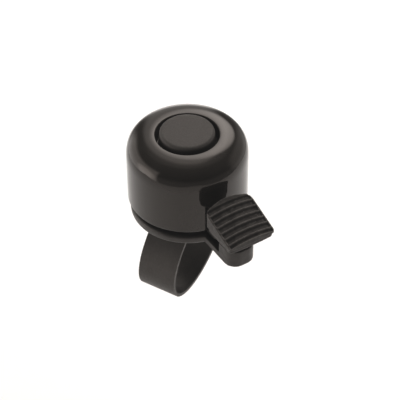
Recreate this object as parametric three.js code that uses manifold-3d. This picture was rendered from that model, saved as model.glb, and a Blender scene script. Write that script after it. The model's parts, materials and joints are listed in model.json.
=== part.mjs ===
// Compact bicycle bell: a dome on a centre post, a sprung thumb lever with a hammer inside the
// dome, and a band that straps the base to a handlebar.
// Millimetres, +Z up, +X along the handlebar. The origin is on the handlebar's axis, straight
// below the dome. The lever mechanism is drawn in its own group, whose +X points out along the
// nose of the base.
import * as THREE from 'three';
import { mergeVertices } from 'three/addons/utils/BufferGeometryUtils.js';
import Module from 'manifold-3d';

const wasm = await Module();
wasm.setup();

// ---------- driving dimensions ----------
const BAR_R = 11.1; // handlebar radius
const FIT_GAP = 0.3; // between pieces that touch

const RIM_Z = 18.9; // open edge of the dome
const DOME_R = 18.9;
const DOME_H = 23.7;
const DOME_WALL = 1.2;
const CROWN_H = 8.8; // from where the side starts to bend in, up to the lip of the recess
const CROWN_POWER = 2.9; // a superellipse: 2 would be a plain ellipse
const RECESS_R = 9.85;
const RECESS_DEPTH = 4.3;
const LIP_R = 0.35;
const DOME_HOLE_R = 2.4;

const FLANGE_R = 17.5;
const FLANGE_TOP = RIM_Z - 3.1;
const FLANGE_BOTTOM = FLANGE_TOP - 2.05;

const NOSE_AZIMUTH = THREE.MathUtils.degToRad(-26.6);
const NOSE_HALF = 4.9;
const NOSE_END = 32.6;
const NOSE_CORNER = 3.9;
const BOSS_START = 25.5;
const BOSS_TOP = RIM_Z + 0.9;
const CHANNEL_HALF = 3.9;
const CHANNEL_START = 6.3;
const CHANNEL_FLOOR = FLANGE_BOTTOM + 0.55;

const PIVOT_X = 12.5; // lever hinge, out along the nose
const PIVOT_Z = RIM_Z - 1.6;
const PIVOT_PIN_R = 1;
const EAR_R = 2.2;
const EAR_INNER = 4.2;
const EAR_OUTER = 5.8;
const PIN_RING_R = 2;

const LEVER_HALF = 3.3;
const HUB_R = 1.9;
const STEM_BOTTOM = RIM_Z - 2.7;
const STEM_TOP = RIM_Z - 0.6;
const PLATFORM_Z = RIM_Z + 6;
const PLATFORM_T = 1.2;

const PAD_BACK = 22.3;
const PAD_BOW = 0.7; // how far the middle of the back edge stands behind its corners
const PAD_FRONT = 36.9;
const PAD_HALF = 8.1;
const PAD_BACK_Z = RIM_Z + 13.8;
const PAD_FRONT_Z = RIM_Z + 9.05;
const PAD_CROWN = 1;
const PAD_GROOVES = 7;
const GROOVE_START = 22.65;
const GROOVE_PITCH = 2.08;
const GROOVE_DEPTH = 0.75;

const HEAD_Z = PIVOT_Z + 14.1;
const HEAD_R = 3;
const HEAD_FACE = 14.5;
const ARM_X = 9.6;
const ARM_T = 0.5;
const ARM_HALF = 2;
const TAIL_END = 6.7; // inner end of the lever, under the arm's foot
const ARM_FOOT_Z = STEM_TOP - 0.4 + FIT_GAP;
const RIVET_X = 8;
const RIVET_Y = 1.1;
const RIVET_HOLE_R = 0.75;

const SPRING_X = 28.5;
const SPRING_R = 1.95;
const SPRING_WIRE_R = 0.26;
const SPRING_TURNS = 6;
const SPRING_POCKET_R = 2.7;
const SPRING_SEAT_Z = FLANGE_TOP - 0.3;
const PEG_R = 0.5; // peg under the platform that the coil stands round

const POST_R = 3.4;
const POST_FOOT_Z = FLANGE_TOP + 1.3;
const STUD_R = 2;

const CAP_R = 8.6;
const CAP_TOP = RIM_Z + DOME_H + 1.25;
const CAP_WALL = 1.1;

const BAND_W = 13.2;
const BAND_T = 1.1;
const BAND_X = -1.4; // middle of the band along the bar
const BAND_LONG = 19.5; // half axes of the slack band's outside
const BAND_SHORT = 12.2;
const BAND_TILT = THREE.MathUtils.degToRad(35.3);
const BAND_CENTRE = new THREE.Vector2(-0.12, -0.05);
const BAND_START = THREE.MathUtils.degToRad(84);
const BAND_END = THREE.MathUtils.degToRad(335);
const EYE_ANGLE = THREE.MathUtils.degToRad(90);
const EYE_BORE_R = 1.25;
const ANCHOR_PIN_R = 1;
const LUG_T = 1.8;

const LINER_T = 1.2;
const SADDLE_R = BAR_R + LINER_T + FIT_GAP;
const SADDLE_HALF = 5.6;
const SADDLE_LEFT = -4.9;
const BLOCK_OUT = 15.85;
const BLOCK_BOTTOM = 6.4;
const CLAMP_Z = 10.2;
const SCREW_R = 1.45;
const NUT_HALF = 2.75;
const NUT_T = 2.2;
const NUT_Y = 12;

// ---------- materials ----------
function finish(color, roughness, metalness) {
  return new THREE.MeshStandardMaterial({ color, roughness, metalness });
}
const glossBlack = () => finish(0x17171a, 0.12, 0.1);
const mouldedBlack = () => finish(0x232324, 0.55, 0);
const softBlack = () => finish(0x1e1e1f, 0.75, 0);
const capBlack = () => finish(0x2a2a2b, 0.6, 0);
const bandBlack = () => finish(0x222223, 0.65, 0);
const steel = () => finish(0xb9bcc0, 0.3, 1);
const brass = () => finish(0xb49a5a, 0.35, 1);

// ---------- solids ----------
function toSolid(geometry) {
  const bare = geometry.clone();
  bare.deleteAttribute('normal');
  bare.deleteAttribute('uv');
  const merged = mergeVertices(bare, 1e-4);
  return new wasm.Manifold(new wasm.Mesh({
    numProp: 3,
    vertProperties: new Float32Array(merged.attributes.position.array),
    triVerts: new Uint32Array(merged.index.array),
  }));
}

function toGeometry(solid) {
  const mesh = solid.getMesh();
  const geometry = new THREE.BufferGeometry();
  geometry.setAttribute('position', new THREE.BufferAttribute(mesh.vertProperties, 3));
  geometry.setIndex(new THREE.BufferAttribute(mesh.triVerts, 1));
  geometry.computeVertexNormals();
  return geometry;
}

const join = (...geometries) => geometries.map(toSolid).reduce((a, b) => a.add(b));
const cut = (solid, ...geometries) => geometries.map(toSolid).reduce((a, b) => a.subtract(b), solid);

function box(x0, x1, y0, y1, z0, z1) {
  const geometry = new THREE.BoxGeometry(x1 - x0, y1 - y0, z1 - z0);
  return geometry.translate((x0 + x1) / 2, (y0 + y1) / 2, (z0 + z1) / 2);
}

// An upright cylinder.
function rod(r, z0, z1, x = 0, y = 0, sides = 24) {
  return new THREE.CylinderGeometry(r, r, z1 - z0, sides).rotateX(Math.PI / 2).translate(x, y, (z0 + z1) / 2);
}

// A cylinder along Y.
function crossRod(r, y0, y1, x, z, sides = 24) {
  return new THREE.CylinderGeometry(r, r, y1 - y0, sides).translate(x, (y0 + y1) / 2, z);
}

// A cylinder along X.
function barRod(r, x0, x1, y, z, sides = 24) {
  return new THREE.CylinderGeometry(r, r, x1 - x0, sides).rotateZ(Math.PI / 2).translate((x0 + x1) / 2, y, z);
}

// A ring or disc turned from [radius, height] points, given either way round.
function turned(points, sides = 32) {
  const profile = points.map(([r, z]) => new THREE.Vector2(r, z));
  if (THREE.ShapeUtils.area(profile) < 0) profile.reverse();
  profile.push(profile[0].clone());
  return new THREE.LatheGeometry(profile, sides).rotateX(Math.PI / 2);
}

const washer = (inner, outer, z0, z1, sides = 32) =>
  turned([[inner, z0], [outer, z0], [outer, z1], [inner, z1]], sides);

// An outline in X and Z carried across Y.
function sideways(shape, half, steps = 1) {
  const settings = { depth: 2 * half, steps, bevelEnabled: false, curveSegments: 8 };
  return new THREE.ExtrudeGeometry(shape, settings).rotateX(Math.PI / 2).translate(0, half, 0);
}

// An outline in Y and Z carried along X.
function along(shape, x0, x1) {
  const settings = { depth: x1 - x0, bevelEnabled: false, curveSegments: 12 };
  const lieDown = new THREE.Matrix4().makeBasis(
    new THREE.Vector3(0, 1, 0), new THREE.Vector3(0, 0, 1), new THREE.Vector3(1, 0, 0),
  );
  return new THREE.ExtrudeGeometry(shape, settings).applyMatrix4(lieDown).translate(x0, 0, 0);
}

// An outline in X and Y raised along Z.
function upright(shape, z0, z1) {
  const settings = { depth: z1 - z0, bevelEnabled: false, curveSegments: 8 };
  return new THREE.ExtrudeGeometry(shape, settings).translate(0, 0, z0);
}

function outline(points) {
  return new THREE.Shape(points.map(([x, y]) => new THREE.Vector2(x, y)));
}

const model = new THREE.Group();
const mechanism = new THREE.Group();
mechanism.rotation.z = NOSE_AZIMUTH;
model.add(mechanism);

function piece(name, geometry, material, parent = model) {
  const mesh = new THREE.Mesh(geometry, material);
  mesh.name = name;
  parent.add(mesh);
}

// ---------- dome ----------
// Points of the crown, from the straight side up to the lip of the recess.
function crown(sideR, lipR, top, height, steps) {
  const points = [];
  for (let i = 0; i <= steps; i += 1) {
    const angle = (i / steps) * (Math.PI / 2);
    const across = Math.cos(angle) ** (2 / CROWN_POWER);
    const up = Math.sin(angle) ** (2 / CROWN_POWER);
    points.push([lipR + (sideR - lipR) * across, top - height + height * up]);
  }
  return points;
}

function domeShell() {
  const top = RIM_Z + DOME_H;
  const floor = top - RECESS_DEPTH;
  const outside = [
    [DOME_R - 0.3, RIM_Z],
    [DOME_R, RIM_Z + 0.3],
    ...crown(DOME_R, RECESS_R + LIP_R, top, CROWN_H, 8),
    [RECESS_R + 0.29 * LIP_R, top - 0.29 * LIP_R],
    [RECESS_R, top - LIP_R],
    [RECESS_R, floor],
    [DOME_HOLE_R, floor],
  ];
  const inside = [
    [DOME_R - DOME_WALL, RIM_Z],
    ...crown(DOME_R - DOME_WALL, RECESS_R + DOME_WALL, top - DOME_WALL, CROWN_H - DOME_WALL, 7),
    [RECESS_R + DOME_WALL, floor - DOME_WALL],
    [DOME_HOLE_R, floor - DOME_WALL],
  ];
  return turned([...outside, ...inside.reverse()], 48);
}
piece('dome', domeShell(), glossBlack());

// ---------- centre stack that holds the dome ----------
const FLOOR_Z = RIM_Z + DOME_H - RECESS_DEPTH;
const SEAT_TOP = FLOOR_Z - DOME_WALL - FIT_GAP;
const SEAT_T = 0.8;
const POST_TOP = SEAT_TOP - SEAT_T - FIT_GAP;
const TOP_WASHER_Z = FLOOR_Z + FIT_GAP;
const TOP_WASHER_T = 0.6;
const NUT_Z = TOP_WASHER_Z + TOP_WASHER_T + FIT_GAP;
const DOME_NUT_T = 2.4;
const DOME_NUT_R = 4.04;
const STUD_TOP = NUT_Z + DOME_NUT_T + 0.4;

// Column with a stud on top and a tapped hole below.
function postBody() {
  const bore = 1.6;
  return turned([
    [0, POST_FOOT_Z + 8], [bore, POST_FOOT_Z + 7], [bore, POST_FOOT_Z + FIT_GAP],
    [4.4, POST_FOOT_Z + FIT_GAP], [4.4, POST_FOOT_Z + 1.5], [POST_R, POST_FOOT_Z + 2.5],
    [POST_R, POST_TOP], [STUD_R, POST_TOP], [STUD_R, STUD_TOP - 0.4], [STUD_R - 0.4, STUD_TOP],
    [0, STUD_TOP],
  ], 24);
}
piece('centre_post', postBody(), steel());
piece('dome_seat_washer', washer(STUD_R + FIT_GAP, 4.8, SEAT_TOP - SEAT_T, SEAT_TOP), softBlack());
piece('dome_top_washer', washer(STUD_R + FIT_GAP, 4.3, TOP_WASHER_Z, TOP_WASHER_Z + TOP_WASHER_T), steel());
piece('dome_nut', washer(STUD_R + FIT_GAP, DOME_NUT_R, NUT_Z, NUT_Z + DOME_NUT_T, 6), steel());

// Flat cap with a skirt that drops into the recess and a collar that grips the nut.
function capBody() {
  const skirt = FLOOR_Z + FIT_GAP;
  const under = CAP_TOP - CAP_WALL;
  const collar = DOME_NUT_R + FIT_GAP;
  const collarFoot = NUT_Z + 0.2;
  return turned([
    [0, CAP_TOP], [CAP_R - 1.1, CAP_TOP], [CAP_R - 0.3, CAP_TOP - 0.35], [CAP_R, CAP_TOP - 1.1],
    [CAP_R, skirt], [CAP_R - CAP_WALL, skirt], [CAP_R - CAP_WALL, under],
    [collar + 1, under], [collar + 1, collarFoot], [collar, collarFoot], [collar, under], [0, under],
  ], 40);
}
piece('centre_cap', capBody(), capBlack());

// Screw from below that ties the base to the post.
function footScrew() {
  const headFoot = SADDLE_R + 0.35;
  const headTop = headFoot + 1.5;
  return turned([
    [0, headFoot], [2.4, headFoot], [2.6, headFoot + 0.4], [2.6, headTop], [1.25, headTop],
    [1.25, POST_FOOT_Z + 6], [0, POST_FOOT_Z + 6.4],
  ], 20);
}
const slotIn = (z, r) => box(-r, r, -0.35, 0.35, z - 1, z + 0.7);
piece('post_screw', toGeometry(cut(toSolid(footScrew()), slotIn(SADDLE_R + 0.35, 3))), steel());

// ---------- base ----------
// The nose's outline from above, with round corners at its free end.
function nosePlan(start, half) {
  const end = NOSE_END;
  const r = Math.min(NOSE_CORNER, half);
  const shape = new THREE.Shape();
  shape.moveTo(start, -half);
  shape.lineTo(end - r, -half);
  shape.absarc(end - r, -half + r, r, -Math.PI / 2, 0, false);
  shape.lineTo(end, half - r);
  shape.absarc(end - r, half - r, r, 0, Math.PI / 2, false);
  shape.lineTo(start, half);
  shape.closePath();
  return shape;
}

// Hinge ear seen from the side: a round eye on a foot that stands on the flange.
function earSide() {
  const shape = new THREE.Shape();
  shape.moveTo(PIVOT_X - EAR_R - 0.8, FLANGE_TOP - 1);
  shape.lineTo(PIVOT_X + EAR_R + 0.8, FLANGE_TOP - 1);
  shape.lineTo(PIVOT_X + EAR_R, PIVOT_Z);
  shape.absarc(PIVOT_X, PIVOT_Z, EAR_R, 0, Math.PI, false);
  shape.closePath();
  return shape;
}

// Saddle over the bar with the block that holds the clamp nut.
function saddleSide() {
  return outline([
    [SADDLE_LEFT, FLANGE_BOTTOM + 0.8], [SADDLE_LEFT, BLOCK_BOTTOM], [BLOCK_OUT, BLOCK_BOTTOM],
    [BLOCK_OUT, FLANGE_BOTTOM + 0.8],
  ]);
}

const bandAxis = new THREE.Vector2(Math.cos(BAND_TILT), Math.sin(BAND_TILT));

// Point of the band's middle line, and the direction out of the loop there.
function bandPoint(angle) {
  const long = BAND_LONG - BAND_T / 2;
  const short = BAND_SHORT - BAND_T / 2;
  const turn = (u, v) => new THREE.Vector2(u * bandAxis.x - v * bandAxis.y, u * bandAxis.y + v * bandAxis.x);
  const at = turn(long * Math.cos(angle), short * Math.sin(angle)).add(BAND_CENTRE);
  const out = turn(Math.cos(angle) / long, Math.sin(angle) / short).normalize();
  return { at, out };
}

const EYE_R = EYE_BORE_R + BAND_T;
const eye = bandPoint(EYE_ANGLE);
const ANCHOR = eye.at.clone().addScaledVector(eye.out, EYE_BORE_R + BAND_T / 2);

const bandLow = BAND_X - BAND_W / 2;
const bandHigh = BAND_X + BAND_W / 2;

function anchorLug(x0) {
  const shape = new THREE.Shape();
  shape.moveTo(ANCHOR.x - EYE_R, FLANGE_BOTTOM + 0.8);
  shape.lineTo(ANCHOR.x - EYE_R, ANCHOR.y);
  shape.absarc(ANCHOR.x, ANCHOR.y, EYE_R, Math.PI, 2 * Math.PI, false);
  shape.lineTo(ANCHOR.x + EYE_R, FLANGE_BOTTOM + 0.8);
  shape.closePath();
  return along(shape, x0, x0 + LUG_T);
}

function baseBody() {
  const turnedIn = (geometry) => geometry.rotateZ(NOSE_AZIMUTH);
  const rim = turned([
    [0, FLANGE_BOTTOM], [FLANGE_R - 0.4, FLANGE_BOTTOM], [FLANGE_R, FLANGE_BOTTOM + 0.4],
    [FLANGE_R, FLANGE_TOP - 0.3], [FLANGE_R - 0.3, FLANGE_TOP], [0, FLANGE_TOP],
  ], 48);
  const body = join(
    rim,
    rod(5, FLANGE_TOP - 1, POST_FOOT_Z),
    turnedIn(upright(nosePlan(12, NOSE_HALF), FLANGE_BOTTOM, FLANGE_TOP)),
    turnedIn(upright(nosePlan(BOSS_START, NOSE_HALF), FLANGE_TOP - 1, BOSS_TOP)),
    turnedIn(sideways(earSide(), (EAR_OUTER - EAR_INNER) / 2).translate(0, (EAR_INNER + EAR_OUTER) / 2, 0)),
    turnedIn(sideways(earSide(), (EAR_OUTER - EAR_INNER) / 2).translate(0, -(EAR_INNER + EAR_OUTER) / 2, 0)),
    along(saddleSide(), -SADDLE_HALF + BAND_X, SADDLE_HALF + BAND_X),
    anchorLug(bandLow - FIT_GAP - LUG_T),
    anchorLug(bandHigh + FIT_GAP),
  );
  const nutSlot = NUT_HALF + FIT_GAP;
  return cut(
    body,
    turnedIn(box(CHANNEL_START, BOSS_START, -CHANNEL_HALF, CHANNEL_HALF, CHANNEL_FLOOR, FLANGE_TOP + 3)),
    turnedIn(crossRod(PIVOT_PIN_R + 0.25, -8, 8, PIVOT_X, PIVOT_Z)),
    turnedIn(crossRod(PIN_RING_R + FIT_GAP, EAR_OUTER, EAR_OUTER + 1.5, PIVOT_X, PIVOT_Z)),
    turnedIn(rod(SPRING_POCKET_R, SPRING_SEAT_Z, BOSS_TOP + 1, SPRING_X, 0)),
    barRod(SADDLE_R, -12, 12, 0, 0, 72),
    rod(1.6, FLANGE_BOTTOM - 2, POST_FOOT_Z + 1),
    rod(2.9, 9, SADDLE_R + 2.15),
    barRod(ANCHOR_PIN_R + 0.25, -14, 12, ANCHOR.x, ANCHOR.y),
    box(BAND_X - nutSlot, BAND_X + nutSlot, NUT_Y - FIT_GAP, NUT_Y + NUT_T + FIT_GAP, 5, CLAMP_Z + nutSlot),
    crossRod(SCREW_R + FIT_GAP, 10, 17, BAND_X, CLAMP_Z),
  );
}
piece('base', toGeometry(baseBody()), mouldedBlack());

// Curved liner between the saddle and the bar, cut so that a flat strip lies on top of the bar.
function linerBody() {
  const count = 7;
  const first = THREE.MathUtils.degToRad(50);
  const last = THREE.MathUtils.degToRad(112);
  const middle = Math.PI / 2;
  const step = (last - first) / count;
  const angles = [];
  for (let i = -3.5; i <= 3.5; i += 1) angles.push(middle + (i - 1) * step);
  const ring = (r) => angles.map((a) => [r * Math.cos(a), r * Math.sin(a)]);
  const flatten = 1 / Math.cos(step / 2);
  return along(
    outline([...ring(BAR_R * flatten), ...ring(BAR_R + LINER_T - 0.05).reverse()]),
    BAND_X - SADDLE_HALF, BAND_X + SADDLE_HALF,
  );
}
piece('saddle_liner', linerBody(), softBlack());

// ---------- band ----------
// The band from the eye round the bar, then straight up the back of the block.
function bandBody() {
  const inner = [];
  const outer = [];
  const count = 34;
  for (let i = 0; i <= count; i += 1) {
    const { at, out } = bandPoint(BAND_START + (i / count) * (BAND_END - BAND_START));
    inner.push([at.x - (out.x * BAND_T) / 2, at.y - (out.y * BAND_T) / 2]);
    outer.push([at.x + (out.x * BAND_T) / 2, at.y + (out.y * BAND_T) / 2]);
  }
  const top = FLANGE_BOTTOM - FIT_GAP;
  const faceOut = outer[count][0];
  outer.push([faceOut, top]);
  inner.push([faceOut - BAND_T, top]);
  const ribbon = along(outline([...outer, ...inner.reverse()]), bandLow, bandHigh);
  const ring = barRod(EYE_R, bandLow, bandHigh, ANCHOR.x, ANCHOR.y);
  const slot = SCREW_R + FIT_GAP;
  return cut(
    join(ribbon, ring),
    barRod(EYE_BORE_R, bandLow - 1, bandHigh + 1, ANCHOR.x, ANCHOR.y),
    box(BAND_X - slot, BAND_X + slot, faceOut - 3, faceOut + 3, CLAMP_Z - 3, CLAMP_Z),
    crossRod(slot, faceOut - 3, faceOut + 3, BAND_X, CLAMP_Z - 3),
    crossRod(slot, faceOut - 3, faceOut + 3, BAND_X, CLAMP_Z),
  );
}
const BAND_BACK = bandPoint(BAND_END).at.x + (bandPoint(BAND_END).out.x * BAND_T) / 2;
piece('strap', toGeometry(bandBody()), bandBlack());
piece(
  'strap_anchor_pin',
  barRod(ANCHOR_PIN_R, bandLow - FIT_GAP - LUG_T, bandHigh + FIT_GAP + LUG_T, ANCHOR.x, ANCHOR.y, 16),
  steel(),
);

// ---------- clamp ----------
const WASHER_T = 0.6;
const washerY = BAND_BACK + FIT_GAP;
const headY = washerY + WASHER_T + FIT_GAP;

// Turned shape along +Y, its points given as [radius, distance along Y].
function turnedAlongY(points, x, z, sides = 20) {
  return turned(points, sides).rotateX(-Math.PI / 2).translate(x, 0, z);
}

piece(
  'clamp_washer',
  turnedAlongY([[SCREW_R + FIT_GAP, washerY], [3.5, washerY], [3.5, washerY + WASHER_T],
    [SCREW_R + FIT_GAP, washerY + WASHER_T]], BAND_X, CLAMP_Z, 24),
  steel(),
);

function clampScrew() {
  const tip = NUT_Y - 1.3;
  const head = turnedAlongY([
    [0, tip], [SCREW_R - 0.3, tip], [SCREW_R, tip + 0.3], [SCREW_R, headY], [2.8, headY],
    [2.8, headY + 0.9], [2.2, headY + 1.6], [0, headY + 1.8],
  ], BAND_X, CLAMP_Z);
  const arm = 1.7;
  const blade = 0.32;
  const across = (w, h) => box(BAND_X - w, BAND_X + w, headY + 0.8, headY + 3, CLAMP_Z - h, CLAMP_Z + h);
  return cut(toSolid(head), across(arm, blade), across(blade, arm));
}
piece('clamp_screw', toGeometry(clampScrew()), steel());

function squareNut() {
  const block = new THREE.BoxGeometry(2 * NUT_HALF, NUT_T, 2 * NUT_HALF);
  block.translate(BAND_X, NUT_Y + NUT_T / 2, CLAMP_Z);
  return cut(toSolid(block), crossRod(SCREW_R + FIT_GAP, NUT_Y - 1, NUT_Y + NUT_T + 1, BAND_X, CLAMP_Z));
}
piece('clamp_nut', toGeometry(squareNut()), steel());

// ---------- lever ----------
// The lever from the side: tail, hub, stem through the gap under the dome, riser and platform.
function leverSide() {
  const top = PLATFORM_Z + PLATFORM_T;
  const shape = new THREE.Shape();
  shape.moveTo(TAIL_END, STEM_BOTTOM);
  shape.lineTo(PIVOT_X - 1.2, STEM_BOTTOM);
  shape.absarc(PIVOT_X, PIVOT_Z, HUB_R, 1.25 * Math.PI, 1.75 * Math.PI, false);
  shape.lineTo(PIVOT_X + 1.9, STEM_BOTTOM);
  shape.lineTo(20, STEM_BOTTOM);
  shape.quadraticCurveTo(22.4, STEM_BOTTOM, 23.2, STEM_BOTTOM + 3);
  shape.lineTo(25.4, PLATFORM_Z);
  shape.lineTo(PAD_FRONT - 0.9, PLATFORM_Z);
  shape.lineTo(PAD_FRONT - 0.5, PLATFORM_Z + 0.4);
  shape.lineTo(PAD_FRONT - 0.5, top);
  shape.lineTo(PAD_BACK + 0.2, top);
  shape.lineTo(PAD_BACK + 0.2, PLATFORM_Z + 0.3);
  shape.lineTo(21.4, STEM_TOP + 2.2);
  shape.quadraticCurveTo(20.9, STEM_TOP, 19.6, STEM_TOP);
  shape.lineTo(PIVOT_X + 1.6, STEM_TOP);
  shape.absarc(PIVOT_X, PIVOT_Z, HUB_R, 0.18 * Math.PI, 0.82 * Math.PI, false);
  shape.lineTo(10.4, STEM_TOP - 0.4);
  shape.lineTo(TAIL_END, STEM_TOP - 0.4);
  shape.closePath();
  return shape;
}

// The pad from above: wide, with round corners.
function padPlan(inset) {
  const x0 = PAD_BACK + inset;
  const x1 = PAD_FRONT - inset;
  const half = PAD_HALF - inset;
  const shape = new THREE.Shape();
  const back = 2.6;
  const front = 1.4;
  const bulge = 0.2;
  shape.moveTo(x0 + back, -half);
  shape.lineTo(x1 - front - bulge, -half);
  shape.quadraticCurveTo(x1 - bulge, -half, x1 - bulge, -half + front);
  shape.quadraticCurveTo(x1 + bulge, 0, x1 - bulge, half - front);
  shape.quadraticCurveTo(x1 - bulge, half, x1 - front - bulge, half);
  shape.lineTo(x0 + back, half);
  shape.quadraticCurveTo(x0, half, x0, half - back);
  shape.quadraticCurveTo(x0 - 2 * PAD_BOW, 0, x0, -half + back);
  shape.quadraticCurveTo(x0, -half, x0 + back, -half);
  return shape;
}

function leverBody() {
  const side = toSolid(sideways(leverSide(), LEVER_HALF));
  const platform = toSolid(upright(padPlan(0.4), PLATFORM_Z, PLATFORM_Z + PLATFORM_T));
  const peg = toSolid(rod(PEG_R, PLATFORM_Z - 1.5, PLATFORM_Z + 0.5, SPRING_X, 0, 16));
  const rivetHoles = [-RIVET_Y, RIVET_Y].map(
    (y) => rod(RIVET_HOLE_R, STEM_BOTTOM - 1, STEM_TOP + 1, RIVET_X, y, 16),
  );
  return cut(
    side.add(platform).add(peg),
    crossRod(PIVOT_PIN_R + 0.2, -5, 5, PIVOT_X, PIVOT_Z),
    ...rivetHoles,
  );
}
piece('lever', toGeometry(leverBody()), mouldedBlack(), mechanism);

// The grip's ridged side, made of grooves stepped evenly down its slope. The last groove stops
// short of the front face.
function gripSide(foot) {
  const slope = (PAD_BACK_Z - PAD_FRONT_Z) / (PAD_FRONT - PAD_BACK);
  const surface = (x) => PAD_BACK_Z - (x - PAD_BACK) * slope;
  const back = PAD_BACK - PAD_BOW - 0.1;
  const points = [[back, foot], [PAD_FRONT, foot], [PAD_FRONT, surface(PAD_FRONT)]];
  for (let i = PAD_GROOVES - 1; i >= 0; i -= 1) {
    const x = GROOVE_START + i * GROOVE_PITCH;
    const end = Math.min(x + GROOVE_PITCH * 0.88, PAD_FRONT - 0.35);
    points.push([end, surface(end)]);
    points.push([end - GROOVE_PITCH * 0.2, surface(end) - GROOVE_DEPTH]);
    points.push([x + GROOVE_PITCH * 0.32, surface(x + GROOVE_PITCH * 0.32) - GROOVE_DEPTH]);
    points.push([x + GROOVE_PITCH * 0.12, surface(x + GROOVE_PITCH * 0.12)]);
  }
  points.push([back, surface(back)]);
  return outline(points);
}

function gripBody() {
  const foot = PLATFORM_Z + PLATFORM_T + FIT_GAP;
  const ridged = sideways(gripSide(foot), PAD_HALF + 0.5, 8);
  const at = ridged.attributes.position;
  for (let i = 0; i < at.count; i += 1) {
    const drop = PAD_CROWN * (at.getY(i) / PAD_HALF) ** 2;
    if (at.getZ(i) > foot + 0.01) at.setZ(i, at.getZ(i) - drop);
  }
  return toSolid(ridged).intersect(toSolid(upright(padPlan(0), foot - 1, PAD_BACK_Z + 2)));
}
piece('thumb_grip', toGeometry(gripBody()), softBlack(), mechanism);

piece(
  'lever_pin',
  crossRod(PIVOT_PIN_R, -EAR_OUTER - 0.5, EAR_OUTER + 1.3, PIVOT_X, PIVOT_Z, 16),
  steel(),
  mechanism,
);

// Push-on ring that keeps the hinge pin in its ears.
function pinRing() {
  const y = EAR_OUTER + FIT_GAP;
  const inner = PIVOT_PIN_R + 0.2;
  const section = [[inner, y], [PIN_RING_R, y], [PIN_RING_R, y + 0.5], [inner, y + 0.5]];
  return turnedAlongY(section, PIVOT_X, PIVOT_Z, 16);
}
piece('lever_pin_ring', pinRing(), steel(), mechanism);

// ---------- return spring ----------
class SpringLine extends THREE.Curve {
  constructor(low, high) {
    super();
    this.low = low;
    this.high = high;
  }

  getPoint(t, target = new THREE.Vector3()) {
    const angle = t * SPRING_TURNS * 2 * Math.PI;
    const z = this.low + (this.high - this.low) * t;
    return target.set(SPRING_X + SPRING_R * Math.cos(angle), SPRING_R * Math.sin(angle), z);
  }
}

function springBody() {
  const section = new THREE.Shape();
  section.absarc(0, 0, SPRING_WIRE_R, 0, 2 * Math.PI, false);
  const low = SPRING_SEAT_Z + FIT_GAP + SPRING_WIRE_R;
  const high = PLATFORM_Z - FIT_GAP - SPRING_WIRE_R;
  return new THREE.ExtrudeGeometry(section, {
    steps: SPRING_TURNS * 12, curveSegments: 6, bevelEnabled: false, extrudePath: new SpringLine(low, high),
  });
}
piece('return_spring', springBody(), steel(), mechanism);

// ---------- hammer ----------
// Leaf spring: a foot on the lever's tail and an upright blade.
function armBody() {
  const foot = ARM_FOOT_Z;
  const inner = TAIL_END + 0.2;
  const top = HEAD_Z + 2.4;
  const side = outline([
    [inner, foot], [ARM_X - 0.4, foot], [ARM_X + ARM_T, foot + 0.8], [ARM_X + ARM_T, top],
    [ARM_X, top], [ARM_X, foot + 1], [ARM_X - 0.6, foot + ARM_T], [inner, foot + ARM_T],
  ]);
  return cut(
    toSolid(sideways(side, ARM_HALF)),
    barRod(1.1, ARM_X - 2, ARM_X + 2, 0, HEAD_Z, 16),
    ...[-RIVET_Y, RIVET_Y].map((y) => rod(RIVET_HOLE_R, foot - 2, foot + 2, RIVET_X, y, 16)),
  );
}
piece('hammer_arm', toGeometry(armBody()), steel(), mechanism);

// Turned shape along +X, its points given as [radius, distance along X].
function turnedAlongX(points, z, sides = 20) {
  return turned(points, sides).rotateY(Math.PI / 2).translate(0, 0, z);
}

// Striker with a round face towards the dome's wall.
function headBody() {
  const back = ARM_X + ARM_T + FIT_GAP;
  const faceR = 3.6;
  const profile = [[1.1, back], [HEAD_R - 0.3, back], [HEAD_R, back + 0.3]];
  const steps = 5;
  const edge = Math.asin(HEAD_R / faceR);
  for (let i = 0; i <= steps; i += 1) {
    const angle = edge * (1 - i / steps);
    profile.push([faceR * Math.sin(angle), HEAD_FACE - faceR * (1 - Math.cos(angle))]);
  }
  profile.push([0, back + 1.4]);
  profile.push([1.1, back + 1.4]);
  return turnedAlongX(profile, HEAD_Z);
}
piece('hammer_head', headBody(), brass(), mechanism);

function headRivet() {
  const start = ARM_X - 1.1;
  const end = ARM_X + ARM_T + FIT_GAP + 1.1;
  return turnedAlongX([
    [0, start], [1.2, start], [1.7, start + 0.4], [1.7, ARM_X - FIT_GAP], [0.8, ARM_X - FIT_GAP],
    [0.8, end], [0, end],
  ], HEAD_Z, 16);
}
piece('hammer_rivet', headRivet(), steel(), mechanism);

// Two rivets through the arm's foot and the lever's tail.
function footRivet(y) {
  const low = STEM_BOTTOM + 0.1;
  const high = ARM_FOOT_Z + ARM_T + FIT_GAP;
  const rivet = turned([
    [0, low], [0.5, low], [0.5, high], [0.95, high], [0.95, high + 0.3], [0.6, high + 0.6],
    [0, high + 0.6],
  ], 12);
  return rivet.translate(RIVET_X, y, 0);
}
piece('arm_rivet_left', footRivet(RIVET_Y), steel(), mechanism);
piece('arm_rivet_right', footRivet(-RIVET_Y), steel(), mechanism);

export default model;
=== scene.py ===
import json
import math

import bmesh
import bpy
from mathutils import Matrix, Vector


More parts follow.
